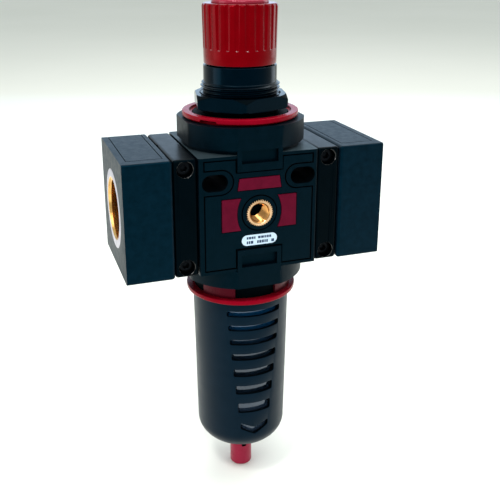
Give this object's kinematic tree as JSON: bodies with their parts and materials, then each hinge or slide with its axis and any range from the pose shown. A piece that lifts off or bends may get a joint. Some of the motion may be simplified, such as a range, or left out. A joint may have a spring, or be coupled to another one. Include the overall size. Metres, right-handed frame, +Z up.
{
  "type": "filter regulator",
  "caption": "Modular compressed-air filter regulator: square body clamped between two threaded pipe blocks, fluted red knob above, slotted bowl guard and clear bowl with drain below.",
  "frame": {"origin": "where the pipe axis through both ports crosses the vertical axis of knob and bowl", "axes": "+X along the pipe axis from inlet to outlet, -Y out of the front face, +Z up towards the knob"},
  "size_m": [0.179, 0.0841, 0.3574],
  "materials": {
    "body_enamel": "satin, finely textured",
    "block_enamel": "satin, finely textured",
    "clamp_enamel": "smooth satin",
    "cover_plastic": "fine matt texture",
    "black_plastic": "satin",
    "guard_plastic": "satin grey",
    "red_plastic": "satin red",
    "inlay_red": "matt crimson",
    "brass": "machined",
    "steel": "plated",
    "black_steel": "blackened",
    "nbr": "matt",
    "white_plastic": "smooth",
    "element_plastic": "porous",
    "clear_bowl": "clear, faint blue"
  },
  "bodies": {
    "housing": {"body": "body_enamel", "front_cover": "cover_plastic", "rear_cover": "cover_plastic", "front_inlay_top": "inlay_red", "front_inlay_left": "inlay_red", "front_inlay_right": "inlay_red", "rear_inlays": "inlay_red", "front_gauge_insert": "brass", "rear_gauge_insert": "brass", "rear_gauge_plug": "black_steel", "rating_label": "white_plastic", "inlet_block": "block_enamel", "outlet_block": "block_enamel", "inlet_insert": "brass", "outlet_insert": "brass", "inlet_seal": "nbr", "outlet_seal": "nbr", "left_clamp_front": "clamp_enamel", "left_clamp_rear": "clamp_enamel", "right_clamp_front": "clamp_enamel", "right_clamp_rear": "clamp_enamel", "clamp_screws": "black_steel", "clamp_nuts": "steel", "bonnet": "black_plastic", "panel_nut": "black_plastic", "thrust_washer": "steel", "range_spring": "steel", "diaphragm": "nbr", "valve_seat": "brass", "valve_spring": "steel", "valve_guide": "brass", "air_deflector": "white_plastic", "filter_element": "element_plastic", "element_retainer": "black_plastic", "bowl_seal": "nbr", "bowl": "clear_bowl", "bowl_guard": "guard_plastic", "drain_body": "black_plastic", "drain_seal": "nbr", "drain_nut": "steel"},
    "upper_ring": {"upper_lock_ring": "red_plastic"},
    "lower_ring": {"lower_lock_ring": "red_plastic"},
    "adjuster": {"adjusting_screw": "steel", "knob_retainer": "steel"},
    "knob": {"knob": "red_plastic", "knob_cap": "red_plastic"},
    "seat": {"spring_seat": "steel"},
    "plates": {"diaphragm_plate": "steel", "diaphragm_hub": "brass"},
    "valve": {"valve_stem": "steel", "valve_poppet": "brass", "poppet_seal": "nbr", "guide_seal": "nbr"},
    "drain": {"drain_knob": "red_plastic"}
  },
  "joints": [
    {"name": "upper_ring_turn", "type": "hinge", "parent": "housing", "child": "upper_ring", "pos_m": [0, 0, 0.06], "axis": [0, 0, 1], "range_deg": [0, 45]},
    {"name": "lower_ring_turn", "type": "hinge", "parent": "housing", "child": "lower_ring", "pos_m": [0, 0, -0.06], "axis": [0, 0, 1], "range_deg": [0, 45]},
    {"name": "knob_turn", "type": "hinge", "parent": "housing", "child": "adjuster", "pos_m": [0, 0, 0.09], "axis": [0, 0, 1], "range_deg": [-2160, 0]},
    {"name": "knob_lift", "type": "slide", "parent": "adjuster", "child": "knob", "axis": [0, 0, 1], "range_m": [0, 0.004]},
    {"name": "spring_seat_travel", "type": "slide", "parent": "housing", "child": "seat", "axis": [0, 0, 1], "range_m": [-0.012, 0], "deforming": ["range_spring"]},
    {"name": "diaphragm_travel", "type": "slide", "parent": "housing", "child": "plates", "axis": [0, 0, 1], "range_m": [-0.0015, 0], "stiffness_N_per_m": 1500, "springref_m": 0.003, "deforming": ["diaphragm"]},
    {"name": "valve_travel", "type": "slide", "parent": "housing", "child": "valve", "axis": [0, 0, 1], "range_m": [-0.0015, 0], "stiffness_N_per_m": 1500, "springref_m": 0.003, "deforming": ["valve_spring"]},
    {"name": "drain_turn", "type": "hinge", "parent": "housing", "child": "drain", "pos_m": [0, 0, -0.2], "axis": [0, 0, 1], "range_deg": [0, 90]}
  ],
  "couplings": [
    {"joint": "knob_turn", "follows": "spring_seat_travel", "rad_per_m": 3141.6},
    {"joint": "valve_travel", "follows": "diaphragm_travel", "ratio": 1}
  ]
}
